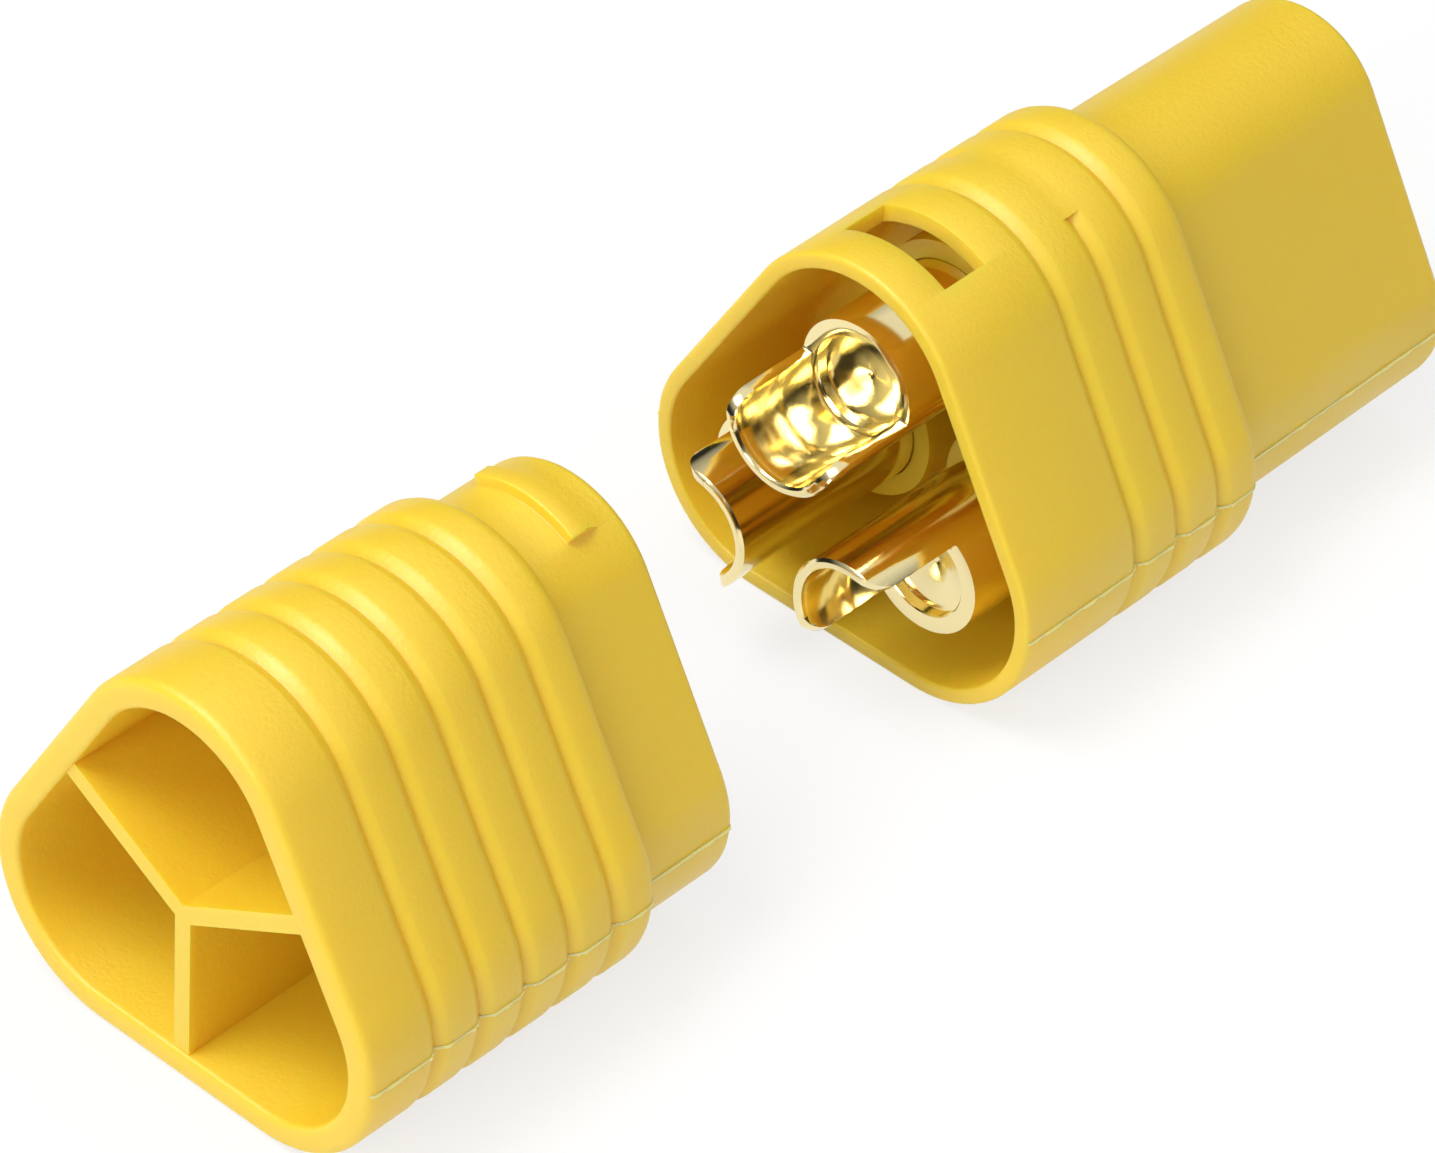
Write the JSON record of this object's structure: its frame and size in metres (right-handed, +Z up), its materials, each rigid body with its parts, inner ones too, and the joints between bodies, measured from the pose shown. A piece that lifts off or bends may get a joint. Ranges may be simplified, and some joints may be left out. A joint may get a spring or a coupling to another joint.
{
  "type": "three-pole bullet power connector",
  "caption": "Moulded in-line power connector with turned solder-cup sockets in a ribbed rounded-triangle housing, its ribbed back cap taken off and lying in line.",
  "frame": {"origin": "centre of the bounding box in plan, on the floor plane both mouldings lie on", "axes": "+X along the connector axis towards the mating face, +Z up through the apex of the rounded-triangle section, +Y to the left seen from the cable end"},
  "size_m": [0.0564, 0.0174, 0.0164],
  "materials": {
    "housing_nylon": "moulded yellow nylon, fine satin",
    "cap_nylon": "moulded yellow nylon, fine satin",
    "contact_gold": "turned brass, bright gold plate"
  },
  "bodies": {
    "root": {"housing": "housing_nylon", "contact_top": "contact_gold", "contact_left": "contact_gold", "contact_right": "contact_gold", "back_cap": "cap_nylon"}
  },
  "joints": []
}
